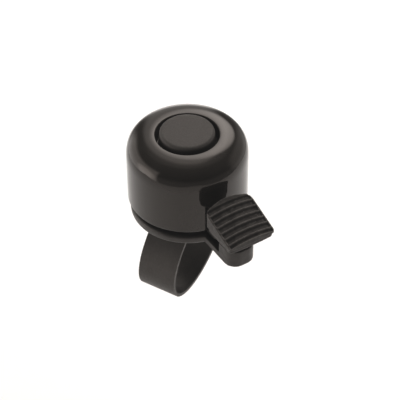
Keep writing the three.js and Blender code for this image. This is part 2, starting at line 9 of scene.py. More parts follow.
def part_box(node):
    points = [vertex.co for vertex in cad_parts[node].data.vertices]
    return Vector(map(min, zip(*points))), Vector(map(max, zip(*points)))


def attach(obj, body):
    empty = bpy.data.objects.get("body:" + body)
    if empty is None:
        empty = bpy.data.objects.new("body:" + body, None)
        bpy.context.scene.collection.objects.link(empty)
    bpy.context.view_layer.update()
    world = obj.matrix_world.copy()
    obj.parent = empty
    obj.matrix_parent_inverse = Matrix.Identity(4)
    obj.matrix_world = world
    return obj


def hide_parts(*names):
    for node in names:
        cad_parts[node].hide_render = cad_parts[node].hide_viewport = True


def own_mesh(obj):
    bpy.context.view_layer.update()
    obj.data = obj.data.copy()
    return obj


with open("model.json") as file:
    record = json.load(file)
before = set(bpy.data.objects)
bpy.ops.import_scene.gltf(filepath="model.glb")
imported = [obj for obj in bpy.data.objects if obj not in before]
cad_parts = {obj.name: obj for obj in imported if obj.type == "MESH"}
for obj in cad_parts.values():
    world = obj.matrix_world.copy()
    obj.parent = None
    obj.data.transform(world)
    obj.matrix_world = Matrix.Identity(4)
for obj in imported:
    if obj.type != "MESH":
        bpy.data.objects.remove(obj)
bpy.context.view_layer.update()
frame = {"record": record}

MM = 0.001
RECORD = frame["record"]
SLOT_OF = {part["node"]: part["material_slot"] for part in RECORD["subparts"]}
BODY_OF = {node: body for body, nodes in RECORD["behaviour"]["bodies"].items() for node in nodes}
JOINT = {joint["name"]: joint for joint in RECORD["behaviour"]["joints"]}


# ---------- the frame's own sizes, in mm ----------
def corners(node):
    low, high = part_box(node)
    return Vector(low) / MM, Vector(high) / MM


dome_low, dome_high = corners("dome")
cap_low, cap_high = corners("centre_cap")
strap_low, strap_high = corners("strap")
pin_low, pin_high = corners("strap_anchor_pin")
screw_low, screw_high = corners("clamp_screw")
washer_low, washer_high = corners("clamp_washer")
nut_low, nut_high = corners("clamp_nut")
post_low, post_high = corners("centre_post")
liner_low, liner_high = corners("saddle_liner")

RIM_Z = dome_low.z
DOME_TOP = dome_high.z
DOME_R = (dome_high.x - dome_low.x) / 2
DOME_WALL = 1.2
CROWN_H = 8.8
CROWN_POWER = 2.9
RECESS_R = 9.85
RECESS_FLOOR = DOME_TOP - 4.3
LIP_R = 0.35
DOME_HOLE_R = 2.4
STUD_R = 2.0
STUD_BORE_R = 2.3

FLANGE_R = DOME_R - 1.4
FLANGE_TOP = RIM_Z - 3.1
FLANGE_BOTTOM = FLANGE_TOP - 2.05

press = JOINT["lever_press"]
PIVOT = Vector(press["pos_m"]) / MM
AXLE = Vector(press["axis"]).normalized()
NOSE_TURN = Matrix.Rotation(math.atan2(-AXLE.x, AXLE.y), 4, "Z")
PIVOT_X = PIVOT.xy.length
PIVOT_Z = PIVOT.z
HINGE_PIN_R = 1
EAR_INNER = 4.2
EAR_OUTER = 5.8
EAR_R = 2.2
EAR_HOLE_R = 1.25

NOSE_HALF = 4.9
NOSE_END = 32.6
NOSE_CORNER = 3.9
BOSS_START = 25.5
BOSS_TOP = RIM_Z + 0.9
CHANNEL_HALF = 3.9
CHANNEL_START = 6.3
CHANNEL_FLOOR = FLANGE_BOTTOM + 0.55

LEVER_HALF = 3.3
LEVER_HOLE_R = 1.2
TAIL_START = 6.7
STEM_BOTTOM = RIM_Z - 2.7
STEM_TOP = RIM_Z - 0.6
PLATFORM_Z = RIM_Z + 6
PLATFORM_T = 1.2

PAD_BACK = 22.3
PAD_BOW = 0.7
PAD_FRONT = 36.9
PAD_HALF = 8.1
PAD_BACK_Z = RIM_Z + 13.8
PAD_FRONT_Z = RIM_Z + 9.05
PAD_CROWN = 1.0
PAD_GROOVES = 7
GROOVE_START = 22.65
GROOVE_PITCH = 2.08
GROOVE_DEPTH = 0.75

HEAD_Z = PIVOT_Z + 14.1
HEAD_R = 3.0
HEAD_FACE = 14.5
LEAF_START = 6.9
ARM_X = 9.6
ARM_T = 0.5
ARM_HALF = 2.0
RIVET_X = 8
RIVET_SIDE = 1.1
RIVET_R = 0.5
RIVET_HOLE_R = 0.75

SPRING_X = 28.5
SPRING_R = 1.95
SPRING_WIRE_R = 0.26
SPRING_TURNS = 6
SPRING_POCKET_R = 2.7
SPRING_SEAT = FLANGE_TOP - 0.3
PEG_R = 0.5

BAND_T = 1.1
BAND_LONG = 19.5 - BAND_T / 2
BAND_SHORT = 12.2 - BAND_T / 2
BAND_TILT = math.radians(35.3)
BAND_CENTRE = Vector((-0.12, -0.05))
BAND_START = math.radians(84)
BAND_END = math.radians(335)
EYE_BORE_R = 1.25
ANCHOR_PIN_R = 1
ANCHOR = Vector(((pin_low.y + pin_high.y) / 2, (pin_low.z + pin_high.z) / 2))
BAND_LOW = strap_low.x
BAND_HIGH = strap_high.x
BAND_X = (BAND_LOW + BAND_HIGH) / 2
LUG_T = 1.8

BAR_R = 11.1
SADDLE_R = BAR_R + 1.5
SADDLE_HALF = 5.6
SADDLE_LEFT = -4.9
BLOCK_OUT = 15.85
BLOCK_BOTTOM = 6.4
CLAMP_Z = (screw_low.z + screw_high.z) / 2
SCREW_R = 1.45
CLAMP_BORE_R = 1.75


# ---------- camera, floor and light ----------
VIEW_AZIMUTH = math.radians(31.2)
VIEW_ELEVATION = math.radians(42.11)
VIEW_DISTANCE = 0.4824
VIEW_ROLL = math.radians(-0.21)
LOOK_AT = Vector((0.00327, 0.00203, 0.01534))
LIGHT_TINT = (1.0, 0.96, 0.93, 1.0)
AMBIENT = 0.05
VEIL = 0.008


def make_camera():
    data = bpy.data.cameras.new("camera")
    data.lens = 136.9
    data.sensor_width = 36
    data.clip_start = 0.01
    camera = bpy.data.objects.new("camera", data)
    turn_to = Matrix.Rotation(VIEW_AZIMUTH, 4, "Z") @ Matrix.Rotation(math.pi / 2 - VIEW_ELEVATION, 4, "X")
    step_back = Matrix.Translation((0, 0, VIEW_DISTANCE))
    roll = Matrix.Rotation(VIEW_ROLL, 4, "Z")
    camera.matrix_world = Matrix.Translation(LOOK_AT) @ turn_to @ step_back @ roll
    bpy.context.scene.collection.objects.link(camera)
    bpy.context.scene.camera = camera


def aim(obj, target):
    obj.rotation_euler = (Vector(target) - obj.location).to_track_quat("-Z", "Y").to_euler()


def panel_light(name, azimuth, elevation, distance, width, height, power):
    """A soft rectangular lamp, its azimuth counted from the camera's own side of the bell."""
    data = bpy.data.lights.new(name, "AREA")
    data.shape = "RECTANGLE"
    data.size = width
    data.size_y = height
    data.energy = power
    data.color = LIGHT_TINT[:3]
    lamp = bpy.data.objects.new(name, data)
    lamp.location = LOOK_AT + from_camera_side(azimuth, elevation) * distance
    aim(lamp, LOOK_AT)
    lamp.visible_camera = False
    lamp.visible_glossy = False
    bpy.context.scene.collection.objects.link(lamp)


def from_camera_side(azimuth, elevation):
    """A direction away from the bell, its azimuth counted from the camera's own side."""
    angle = VIEW_AZIMUTH - math.pi / 2 + math.radians(azimuth)
    rise = math.radians(elevation)
    return Vector((math.cos(angle) * math.cos(rise), math.sin(angle) * math.cos(rise), math.sin(rise)))


class Studio:
    """World nodes that say how bright the room is in each direction."""

    def __init__(self):
        self.world = bpy.data.worlds.new("studio")
        self.world.use_nodes = True
        self.nodes = self.world.node_tree.nodes
        self.links = self.world.node_tree.links
        self.direction = self.nodes.new("ShaderNodeTexCoord").outputs["Generated"]

    def along(self, axis):
        """How far a direction leans along axis, from -1 to 1."""
        lean = self.nodes.new("ShaderNodeVectorMath")
        lean.operation = "DOT_PRODUCT"
        lean.inputs[1].default_value = axis
        self.links.new(self.direction, lean.inputs[0])
        return lean.outputs["Value"]

    def step(self, value, start, end, power=1.0):
        """0 at start, power at end, and smooth between."""
        step = self.nodes.new("ShaderNodeMapRange")
        step.interpolation_type = "SMOOTHSTEP"
        step.inputs["From Min"].default_value = min(start, end)
        step.inputs["From Max"].default_value = max(start, end)
        step.inputs["To Min"].default_value = 0 if start < end else power
        step.inputs["To Max"].default_value = power if start < end else 0
        self.links.new(value, step.inputs["Value"])
        return step.outputs["Result"]

    def math(self, operation, a, b):
        node = self.nodes.new("ShaderNodeMath")
        node.operation = operation
        for socket, value in zip(node.inputs, (a, b)):
            if isinstance(value, (int, float)):
                socket.default_value = value
            else:
                self.links.new(value, socket)
        return node.outputs["Value"]

    def glow(self, azimuth, elevation, full_within, gone_beyond, power):
        """A round glow, its reach in degrees from its middle."""
        middle = self.along(from_camera_side(azimuth, elevation))
        gone, full = (math.cos(math.radians(reach)) for reach in (gone_beyond, full_within))
        return self.step(middle, gone, full, power)

    def framed(self, light, edges):
        """A light cut off by soft edges."""
        for edge in edges:
            light = self.math("MULTIPLY", light, edge)
        return light

    def back_strip(self, power):
        """A tall soft strip straight behind the bell."""
        up = self.along(Vector((0, 0, 1)))
        back = self.along(from_camera_side(180, 0))
        return self.framed(power, [
            self.step(self.along(from_camera_side(108, 0)), -0.06, 0.14),
            self.step(self.along(from_camera_side(90, 0)), 0.2, 0.06),
            self.step(up, 0.98, 0.85),
            self.step(back, 0.1, 0.3),
        ])

    def left_panel(self, power):
        """A broad panel low on the left, brightest near its front edge."""
        up = self.along(Vector((0, 0, 1)))
        bright_part = self.glow(-77, -5, 6, 24, 1.3 * power)
        return self.framed(self.math("ADD", bright_part, power), [
            self.step(self.along(from_camera_side(-144, 0)), -0.06, 0.06),
            self.step(self.along(from_camera_side(-58, 0)), -0.1, 0.22),
            self.step(up, 0.6, 0.34),
        ])

    def haze(self, power):
        """The dim glow of everything at and below the horizon."""
        return self.step(self.along(Vector((0, 0, 1))), 0.2, -0.15, power)


def make_world():
    """A dim studio with soft panels, and white where the camera sees it."""
    studio = Studio()
    lights = [
        studio.back_strip(power=0.95),
        studio.left_panel(power=1.35),
        studio.haze(power=0.25),
        studio.glow(azimuth=168, elevation=38, full_within=3, gone_beyond=15, power=3.6),
        studio.glow(azimuth=-178, elevation=-4, full_within=4, gone_beyond=14, power=1.3),
        studio.glow(azimuth=118, elevation=8, full_within=22, gone_beyond=42, power=0.5),
        studio.glow(azimuth=180, elevation=66, full_within=8, gone_beyond=30, power=0.3),
    ]
    total = AMBIENT
    for light in lights:
        total = studio.math("ADD", total, light)
    nodes, links = studio.nodes, studio.links
    background = nodes["Background"]
    background.inputs["Color"].default_value = LIGHT_TINT
    links.new(total, background.inputs["Strength"])
    seen = nodes.new("ShaderNodeBackground")
    seen.inputs["Color"].default_value = (1, 1, 1, 1)
    path = nodes.new("ShaderNodeLightPath")
    mix = nodes.new("ShaderNodeMixShader")
    links.new(path.outputs["Is Camera Ray"], mix.inputs["Fac"])
    links.new(background.outputs["Background"], mix.inputs[1])
    links.new(seen.outputs["Background"], mix.inputs[2])
    links.new(mix.outputs["Shader"], nodes["World Output"].inputs["Surface"])
    bpy.context.scene.world = studio.world


# ---------- building shapes ----------
def link(obj):
    bpy.context.scene.collection.objects.link(obj)
    return obj


def drop(obj):
    mesh = obj.data
    bpy.data.objects.remove(obj)
    bpy.data.meshes.remove(mesh)


def solid(name, verts, faces, place=None):
    """A closed mesh from points in mm, its faces turned outwards."""
    place = place or Matrix()
    mesh = bpy.data.meshes.new(name)
    mesh.from_pydata([place @ Vector(v) * MM for v in verts], [], faces)
    tidy = bmesh.new()
    tidy.from_mesh(mesh)
    bmesh.ops.remove_doubles(tidy, verts=tidy.verts, dist=1e-8)
    bmesh.ops.recalc_face_normals(tidy, faces=tidy.faces)
    tidy.to_mesh(mesh)
    tidy.free()
    return link(bpy.data.objects.new(name, mesh))


def rounded(points, radii, steps=5):
    """A closed outline with its corners rounded: one radius for them all, or one for each."""
    count = len(points)
    if not isinstance(radii, (list, tuple)):
        radii = [radii] * count
    out = []
    for i, radius in enumerate(radii):
        here = Vector(points[i])
        before = Vector(points[i - 1]) - here
        after = Vector(points[(i + 1) % count]) - here
        if radius <= 0:
            out.append(tuple(here))
            continue
        a, b = before.normalized(), after.normalized()
        half = a.angle(b) / 2
        reach = min(radius / math.tan(half), 0.49 * before.length, 0.49 * after.length)
        size = reach * math.tan(half)
        centre = here + (a + b).normalized() * (size / math.sin(half))
        start, end = here + a * reach - centre, here + b * reach - centre
        for k in range(steps + 1):
            arm = start.slerp(end, k / steps) if start.angle(end) > 1e-4 else start
            out.append(tuple(centre + arm))
    return out


def arc(centre, radius, start, end, steps):
    """Points of an arc, its angles in degrees."""
    angles = [math.radians(start + (end - start) * i / steps) for i in range(steps + 1)]
    return [(centre[0] + radius * math.cos(a), centre[1] + radius * math.sin(a)) for a in angles]


def turn(name, profile, sides=96, place=None, shape=None):
    """A solid turned about Z from a closed (radius, height) profile. shape may change a radius."""
    verts, rings = [], []
    for r, z in profile:
        start = len(verts)
        if r < 1e-6:
            verts.append((0, 0, z))
            rings.append([start])
            continue
        for i in range(sides):
            angle = 2 * math.pi * i / sides
            size = shape(r, z, angle) if shape else r
            verts.append((size * math.cos(angle), size * math.sin(angle), z))
        rings.append(list(range(start, start + sides)))
    faces = []
    for a, b in zip(rings, rings[1:] + rings[:1]):
        if len(a) == 1 and len(b) == 1:
            continue
        for i in range(sides):
            j = (i + 1) % sides
            if len(a) == 1:
                faces.append((a[0], b[i], b[j]))
            elif len(b) == 1:
                faces.append((a[i], a[j], b[0]))
            else:
                faces.append((a[i], a[j], b[j], b[i]))
    return solid(name, verts, faces, place)


def prism(name, outline, low, high, place=None):
    """An outline in X and Y raised from low to high along Z."""
    count = len(outline)
    verts = [(x, y, low) for x, y in outline] + [(x, y, high) for x, y in outline]
    faces = [tuple(range(count)), tuple(range(count, 2 * count))]
    faces += [(i, (i + 1) % count, count + (i + 1) % count, count + i) for i in range(count)]
    return solid(name, verts, faces, place)


# Places for outlines drawn in X and Z, or in Y and Z, and for turned shapes that lie down.
SIDEWAYS = Matrix(((1, 0, 0, 0), (0, 0, 1, 0), (0, 1, 0, 0), (0, 0, 0, 1)))
ALONG_BAR = Matrix(((0, 0, 1, 0), (1, 0, 0, 0), (0, 1, 0, 0), (0, 0, 0, 1)))
TURN_TO_X = Matrix(((0, 0, 1, 0), (0, 1, 0, 0), (-1, 0, 0, 0), (0, 0, 0, 1)))
TURN_TO_Y = Matrix(((1, 0, 0, 0), (0, 0, 1, 0), (0, -1, 0, 0), (0, 0, 0, 1)))


def at(x, y, z):
    return Matrix.Translation((x, y, z))


def block(name, x0, x1, y0, y1, z0, z1, place=None):
    return prism(name, [(x0, y0), (x1, y0), (x1, y1), (x0, y1)], z0, z1, place)


def bar(name, radius, low, high, place, sides=64):
    """A cutter or core: a straight cylinder about Z, moved by place."""
    return turn(name, [(0, low), (radius, low), (radius, high), (0, high)], sides, place)


def settle(obj):
    """Makes what the modifiers show the object's own mesh."""
    shown = obj.evaluated_get(bpy.context.evaluated_depsgraph_get())
    mesh = bpy.data.meshes.new_from_object(shown)
    old = obj.data
    obj.modifiers.clear()
    obj.data = mesh
    bpy.data.meshes.remove(old)
    return obj


def combine(obj, others, operation):
    for other in others:
        modifier = obj.modifiers.new("combine", "BOOLEAN")
        modifier.operation = operation
        modifier.solver = "EXACT"
        modifier.object = other
        settle(obj)
        drop(other)
    return obj


def moulded(obj, voxel, passes):
    """Rounds every edge and inner corner a little, as a moulding is."""
    skin = obj.modifiers.new("skin", "REMESH")
    skin.mode = "VOXEL"
    skin.voxel_size = voxel * MM
    smooth = obj.modifiers.new("ease", "SMOOTH")
    smooth.iterations = passes
    smooth.factor = 0.5
    return settle(obj)


def bevelled(obj, width, angle, segments):
    """Bevels every edge sharper than angle, in degrees."""
    bevel = obj.modifiers.new("bevel", "BEVEL")
    bevel.width = width * MM
    bevel.segments = segments
    bevel.limit_method = "ANGLE"
    bevel.angle_limit = math.radians(angle)
    bevel.use_clamp_overlap = True
    return settle(obj)


def shade(obj, sharp_angle=None):
    obj.data.polygons.foreach_set("use_smooth", [True] * len(obj.data.polygons))
    if sharp_angle:
        obj.data.set_sharp_from_angle(angle=math.radians(sharp_angle))
    weigh = obj.modifiers.new("normals", "WEIGHTED_NORMAL")
    weigh.keep_sharp = True
    return settle(obj)


MATERIALS = {}


def stand_for(obj, node, material=None):
    """Puts a finished piece in the place of a CAD node, on the same body and slot."""
    obj.data.materials.clear()
    obj.data.materials.append(MATERIALS[material or SLOT_OF[node]])
    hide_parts(node)
    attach(obj, BODY_OF[node])


# ---------- materials ----------
# The brownish cast of the light that black paint and plastic reflect.
WARM = (1.0, 0.9, 0.83, 1.0)


class Paint:
    """A Principled material with helpers for noise, ramps and bump in the object's own space."""

    def __init__(self, name, **sockets):
        self.material = bpy.data.materials.new(name)
        self.material.use_nodes = True
        self.nodes = self.material.node_tree.nodes
        self.links = self.material.node_tree.links
        self.shader = self.nodes["Principled BSDF"]
        for socket, value in sockets.items():
            self.shader.inputs[socket.replace("_", " ")].default_value = value
        self.place = self.nodes.new("ShaderNodeTexCoord").outputs["Object"]
        self.last_bump = None

    def noise(self, size_mm, detail=3.0, stretch=(1, 1, 1)):
        """Noise whose grains are about size_mm across."""
        mapping = self.nodes.new("ShaderNodeMapping")
        mapping.inputs["Scale"].default_value = stretch
        noise = self.nodes.new("ShaderNodeTexNoise")
        noise.inputs["Scale"].default_value = 1000 / size_mm
        noise.inputs["Detail"].default_value = detail
        self.links.new(self.place, mapping.inputs["Vector"])
        self.links.new(mapping.outputs["Vector"], noise.inputs["Vector"])
        return noise.outputs["Fac"]

    def ramp(self, value, low, high, dark, light):
        """Colours from dark to light as value goes from low to high."""
        ramp = self.nodes.new("ShaderNodeValToRGB")
        for stop, position, color in zip(ramp.color_ramp.elements, (low, high), (dark, light)):
            stop.position = position
            stop.color = (*color, 1)
        self.links.new(value, ramp.inputs["Fac"])
        return ramp.outputs["Color"]

    def spread(self, value, low, high, start=0.3, end=0.7):
        """value, between start and end, as a number from low to high."""
        spread = self.nodes.new("ShaderNodeMapRange")
        spread.inputs["From Min"].default_value = start
        spread.inputs["From Max"].default_value = end
        spread.inputs["To Min"].default_value = low
        spread.inputs["To Max"].default_value = high
        self.links.new(value, spread.inputs["Value"])
        return spread.outputs["Result"]

    def math(self, operation, a, b):
        node = self.nodes.new("ShaderNodeMath")
        node.operation = operation
        self.links.new(a, node.inputs[0])
        self.links.new(b, node.inputs[1])
        return node.outputs["Value"]

    def pointed(self):
        """How far the surface stands out at this point: about 0.5 where it is flat."""
        return self.nodes.new("ShaderNodeNewGeometry").outputs["Pointiness"]

    def bump(self, value, depth_mm, strength=1.0):
        bump = self.nodes.new("ShaderNodeBump")
        bump.inputs["Strength"].default_value = strength
        bump.inputs["Distance"].default_value = depth_mm * MM
        self.links.new(value, bump.inputs["Height"])
        if self.last_bump:
            self.links.new(self.last_bump, bump.inputs["Normal"])
        self.last_bump = bump.outputs["Normal"]
        self.links.new(self.last_bump, self.shader.inputs["Normal"])

    def set(self, socket, value):
        self.links.new(value, self.shader.inputs[socket])


def gloss_black():
    """Enamel over metal: deep, faintly orange-peeled, with light smears that dull the gloss."""
    paint = Paint("gloss_black", IOR=1.42, Specular_Tint=WARM)
    dark, light = (0.012, 0.0107, 0.0094), (0.0145, 0.013, 0.0116)
    paint.set("Base Color", paint.ramp(paint.noise(9, 2), 0.3, 0.7, dark, light))
    paint.set("Roughness", paint.spread(paint.noise(5, 4), 0.05, 0.13))
    paint.bump(paint.noise(1.1, 1), 0.004, 0.25)
    return paint.material


def cap_black():
    """Matte cap with a fine even grain."""
    paint = Paint("cap_black", IOR=1.5, Specular_Tint=WARM)
    dark, light = (0.0265, 0.0245, 0.023), (0.04, 0.037, 0.0345)
    paint.set("Base Color", paint.ramp(paint.noise(0.5, 4), 0.3, 0.75, dark, light))
    paint.set("Roughness", paint.spread(paint.noise(0.35, 3), 0.5, 0.66))
    paint.bump(paint.noise(0.22, 2), 0.018, 0.5)
    paint.bump(paint.noise(2.4, 2), 0.02, 0.15)
    return paint.material


def moulded_black():
    """Satin moulding: faint flow marks, a fine grain and edges rubbed a little lighter."""
    paint = Paint("moulded_black", IOR=1.42, Specular_Tint=WARM)
    rubbed = paint.spread(paint.pointed(), 0.0, 0.5, 0.515, 0.56)
    worn = paint.math("MULTIPLY", rubbed, paint.noise(0.8, 4))
    tone = paint.math("ADD", worn, paint.spread(paint.noise(3.5, 4), 0.0, 0.35))
    dark, light = (0.0145, 0.0135, 0.0126), (0.038, 0.0355, 0.0335)
    paint.set("Base Color", paint.ramp(tone, 0.0, 0.8, dark, light))
    paint.set("Roughness", paint.spread(paint.noise(1.4, 4), 0.38, 0.52))
    paint.bump(paint.noise(0.3, 3), 0.01, 0.35)
    return paint.material


def soft_black():
    """Rubbery black and dull, with its crests painted lighter: partly dust, partly a painted highlight on
    the ridges.
    """
    paint = Paint("soft_black", IOR=1.46, Specular_Tint=WARM, Sheen_Weight=0.08, Sheen_Roughness=0.5)
    # Pointiness lifts the colour of the crests. This is partly dust and partly a painted highlight where the
    # ridges catch the light.
    edge = paint.spread(paint.pointed(), 0.0, 1.3, 0.503, 0.53)
    dust_and_crest_highlight = paint.math("MULTIPLY", edge, paint.noise(0.6, 4))
    tone = paint.math("ADD", dust_and_crest_highlight, paint.spread(paint.noise(2.2, 4), 0.0, 0.3))
    dark, light = (0.006, 0.0055, 0.005), (0.062, 0.057, 0.053)
    paint.set("Base Color", paint.ramp(tone, 0.0, 0.8, dark, light))
    paint.set("Roughness", paint.spread(paint.noise(0.9, 4), 0.5, 0.68))
    paint.bump(paint.noise(0.25, 3), 0.014, 0.4)
    return paint.material


def band_black():
    """Tough satin plastic with faint streaks along its length and scuffs."""
    paint = Paint("band_black", IOR=1.48, Specular_Tint=WARM)
    streak = paint.noise(1.2, 4, (6, 1, 1))
    tone = paint.math("ADD", paint.spread(streak, 0.0, 0.5), paint.spread(paint.noise(4, 3), 0.0, 0.4))
    dark, light = (0.0165, 0.0153, 0.0143), (0.0295, 0.0275, 0.0258)
    paint.set("Base Color", paint.ramp(tone, 0.1, 0.9, dark, light))
    paint.set("Roughness", paint.spread(paint.noise(0.7, 4), 0.42, 0.58))
    paint.bump(paint.noise(0.28, 3), 0.012, 0.35)
    paint.bump(streak, 0.012, 0.2)
    return paint.material


def metal(name, dark, light, rough, grain_mm, stretch):
    """Bare metal, tarnished in soft patches and brushed along one direction."""
    paint = Paint(name, Metallic=1.0, Anisotropic=0.3)
    paint.set("Base Color", paint.ramp(paint.noise(2.5, 5), 0.3, 0.7, dark, light))
    paint.set("Roughness", paint.spread(paint.noise(grain_mm, 5, stretch), *rough))
    paint.bump(paint.noise(grain_mm, 4, stretch), 0.006, 0.3)
    return paint.material


def floor_white():
    """Matte white paper."""
    paint = Paint("floor_white", Roughness=0.9, Specular_IOR_Level=0.1)
    dark, light = (0.97, 0.97, 0.97), (0.98, 0.98, 0.98)
    paint.set("Base Color", paint.ramp(paint.noise(60, 3), 0.3, 0.7, dark, light))
    paint.bump(paint.noise(2, 2), 0.05, 0.1)
    return paint.material


def make_materials():
    MATERIALS["gloss_black"] = gloss_black()
    MATERIALS["cap_black"] = cap_black()
    MATERIALS["moulded_black"] = moulded_black()
    MATERIALS["soft_black"] = soft_black()
    MATERIALS["band_black"] = band_black()
    MATERIALS["zinc_steel"] = metal(
        "zinc_steel", (0.5, 0.51, 0.54), (0.72, 0.72, 0.73), (0.22, 0.42), 0.4, (1, 1, 5))
    MATERIALS["spring_steel"] = metal(
        "spring_steel", (0.32, 0.32, 0.34), (0.5, 0.5, 0.5), (0.25, 0.4), 0.3, (1, 1, 4))
    MATERIALS["brass"] = metal("brass", (0.55, 0.4, 0.17), (0.76, 0.6, 0.3), (0.2, 0.36), 0.35, (4, 1, 1))
    MATERIALS["floor_white"] = floor_white()


# ---------- dome, cap and the stack that holds them ----------
def crown(side_r, lip_r, top, height, steps):
    """The dome's outline from its straight side up to the lip of the recess: a superellipse."""
    points = []
    for i in range(steps + 1):
        angle = math.pi / 2 * i / steps
        across = max(0.0, math.cos(angle)) ** (2 / CROWN_POWER)
        up = math.sin(angle) ** (2 / CROWN_POWER)
        points.append((lip_r + (side_r - lip_r) * across, top - height + height * up))
    return points


def quarter_ellipse(x, z, w, h, steps):
    """Points of the outer upper quarter of an ellipse, from its side to its top."""
    angles = [math.pi / 2 * i / steps for i in range(steps + 1)]
    return [(x + w * math.cos(a), z + h * math.sin(a)) for a in angles]


def make_dome():
    inner_r = DOME_R - DOME_WALL
    outside = [
        *arc((DOME_R - 0.45, RIM_Z + 0.45), 0.45, -90, 0, 6),
        (DOME_R, RIM_Z + 1.2),
        (DOME_R, RIM_Z + 8),
        *crown(DOME_R, RECESS_R + LIP_R, DOME_TOP, CROWN_H, 48),
        *arc((RECESS_R + LIP_R, DOME_TOP - LIP_R), LIP_R, 90, 180, 10)[1:],
        *arc((RECESS_R - 0.8, RECESS_FLOOR + 0.8), 0.8, 0, -90, 6),
        (DOME_HOLE_R + 2, RECESS_FLOOR),
        *arc((DOME_HOLE_R + 0.2, RECESS_FLOOR - 0.2), 0.2, 90, 180, 3),
    ]
    under = RECESS_FLOOR - DOME_WALL
    corner_r = RECESS_R + DOME_WALL
    inside = [
        *arc((inner_r + 0.3, RIM_Z + 0.3), 0.3, -90, -180, 4),
        (inner_r, RIM_Z + 1.2),
        *crown(inner_r, corner_r + 0.2, DOME_TOP - DOME_WALL, CROWN_H - DOME_WALL, 24),
        (corner_r, DOME_TOP - DOME_WALL - 0.2),
        *arc((corner_r - 0.9, under + 0.9), 0.9, 0, -90, 6),
        (DOME_HOLE_R, under),
    ]
    stand_for(shade(turn("dome_shell", outside + inside[::-1], 192)), "dome")


def make_cap():
    outer_r = (cap_high.x - cap_low.x) / 2
    top, foot = cap_high.z, cap_low.z
    wall = 1.1
    collar = 4.34
    profile = [
        (0, top), (3, top), (6, top),
        *quarter_ellipse(outer_r - 1.1, top - 1.1, 1.1, 1.1, 10)[::-1],
        (outer_r, top - 2),
        *arc((outer_r - 0.25, foot + 0.25), 0.25, 0, -90, 3),
        *arc((outer_r - wall + 0.2, foot + 0.2), 0.2, -90, -180, 3),
        (outer_r - wall, top - wall - 0.4), (outer_r - wall - 0.4, top - wall),
        (collar + 1, top - wall), (collar + 1, foot + 1.1), (collar + 0.1, foot + 1.1),
        (collar, foot + 1.3), (collar, top - wall), (0, top - wall),
    ]
    stand_for(shade(turn("cap_shell", profile, 160)), "centre_cap")


def thread(pitch, depth, low, high):
    """A radius that winds a screw thread between two heights."""
    def radius(r, z, angle):
        if not low <= z <= high:
            return r
        phase = ((z / pitch) - angle / (2 * math.pi)) % 1.0
        fade = min(1.0, (z - low) / pitch, (high - z) / pitch)
        return r - depth * fade * abs(2 * phase - 1)
    return radius


def steps_between(low, high, count):
    return [low + (high - low) * i / count for i in range(count + 1)]


def make_post():
    """Column with a threaded stud; the tapped hole for the foot screw opens below."""
    post_r, foot_r, bore = 3.4, 4.4, 1.6
    low, high = post_low.z, post_high.z
    shoulder_z = corners("dome_seat_washer")[0].z - 0.3
    stud = [(STUD_R, z) for z in steps_between(shoulder_z + 0.2, high - 0.3, 72)]
    profile = [
        (0, low + 7.7), (bore, low + 6.7), (bore, low + 0.3), (bore + 0.3, low),
        (foot_r - 0.3, low), (foot_r, low + 0.3), (foot_r, low + 1.2), (foot_r - 0.2, low + 1.5),
        (post_r + 0.2, low + 2.0), (post_r, low + 2.4), (post_r, shoulder_z - 0.3),
        (post_r - 0.3, shoulder_z), (STUD_R + 0.2, shoulder_z), *stud, (STUD_R - 0.35, high), (0, high),
    ]
    shape = thread(0.7, 0.32, shoulder_z + 0.3, high - 0.3)
    stand_for(shade(turn("post_column", profile, 64, None, shape), 50), "centre_post")


def make_washers():
    for node, edge in (("dome_seat_washer", 0.25), ("dome_top_washer", 0.12)):
        low, high = corners(node)
        outer = (high.x - low.x) / 2
        profile = rounded([
            (STUD_BORE_R, low.z), (outer, low.z), (outer, high.z), (STUD_BORE_R, high.z),
        ], edge, 4)
        stand_for(shade(turn(node + "_ring", profile, 96)), node)


def hexagon(across):
    """A radius that cuts a turned shape to six flats."""
    def radius(r, _z, angle):
        flat = (across / 2) / math.cos((angle + math.pi / 6) % (math.pi / 3) - math.pi / 6)
        return min(r, flat)
    return radius


def make_dome_nut():
    low, high = corners("dome_nut")
    bore, outer, chamfer = STUD_BORE_R, 4.04, 0.35
    profile = [
        (bore + 0.3, low.z), (outer - chamfer * 1.6, low.z), (outer, low.z + chamfer),
        (outer, high.z - chamfer), (outer - chamfer * 1.6, high.z), (bore + 0.3, high.z),
        (bore, high.z - 0.3), (bore, low.z + 0.3),
    ]
    stand_for(shade(turn("dome_nut_hex", profile, 144, None, hexagon(7.0)), 25), "dome_nut")


def make_post_screw():
    low, high = corners("post_screw")
    head_r, shank_r = 2.6, 1.25
    head_top = low.z + 1.5
    shank = [(shank_r, z) for z in steps_between(head_top + 0.15, high.z - 0.4, 64)]
    profile = [
        (0, low.z), (2.1, low.z), (2.45, low.z + 0.15), (head_r, low.z + 0.5), (head_r, head_top - 0.1),
        (head_r - 0.1, head_top), (shank_r + 0.15, head_top), *shank, (0.5, high.z), (0, high.z),
    ]
    screw = turn("post_screw_slotted", profile, 64, None, thread(0.5, 0.22, head_top + 0.3, high.z - 0.4))
    slot = block("slot", -3, 3, -0.35, 0.35, low.z - 1, low.z + 0.7)
    stand_for(shade(combine(screw, [slot], "DIFFERENCE"), 40), "post_screw")


# ---------- base ----------
def nose_outline(start, half):
    right = arc((NOSE_END - NOSE_CORNER, -half + NOSE_CORNER), NOSE_CORNER, -90, 0, 16)
    left = arc((NOSE_END - NOSE_CORNER, half - NOSE_CORNER), NOSE_CORNER, 0, 90, 16)
    return [(start, -half), *right, *left, (start, half)]


def ear_outline():
    eye = arc((PIVOT_X, PIVOT_Z), EAR_R, 0, 180, 24)
    return [(PIVOT_X - 3, FLANGE_TOP - 1), (PIVOT_X + 3, FLANGE_TOP - 1), *eye]


def lug_outline():
    radius = EYE_BORE_R + BAND_T
    root = FLANGE_BOTTOM + 0.8
    around = arc(ANCHOR, radius, 180, 360, 24)
    return [(ANCHOR.x - radius, root), *around, (ANCHOR.x + radius, root)]


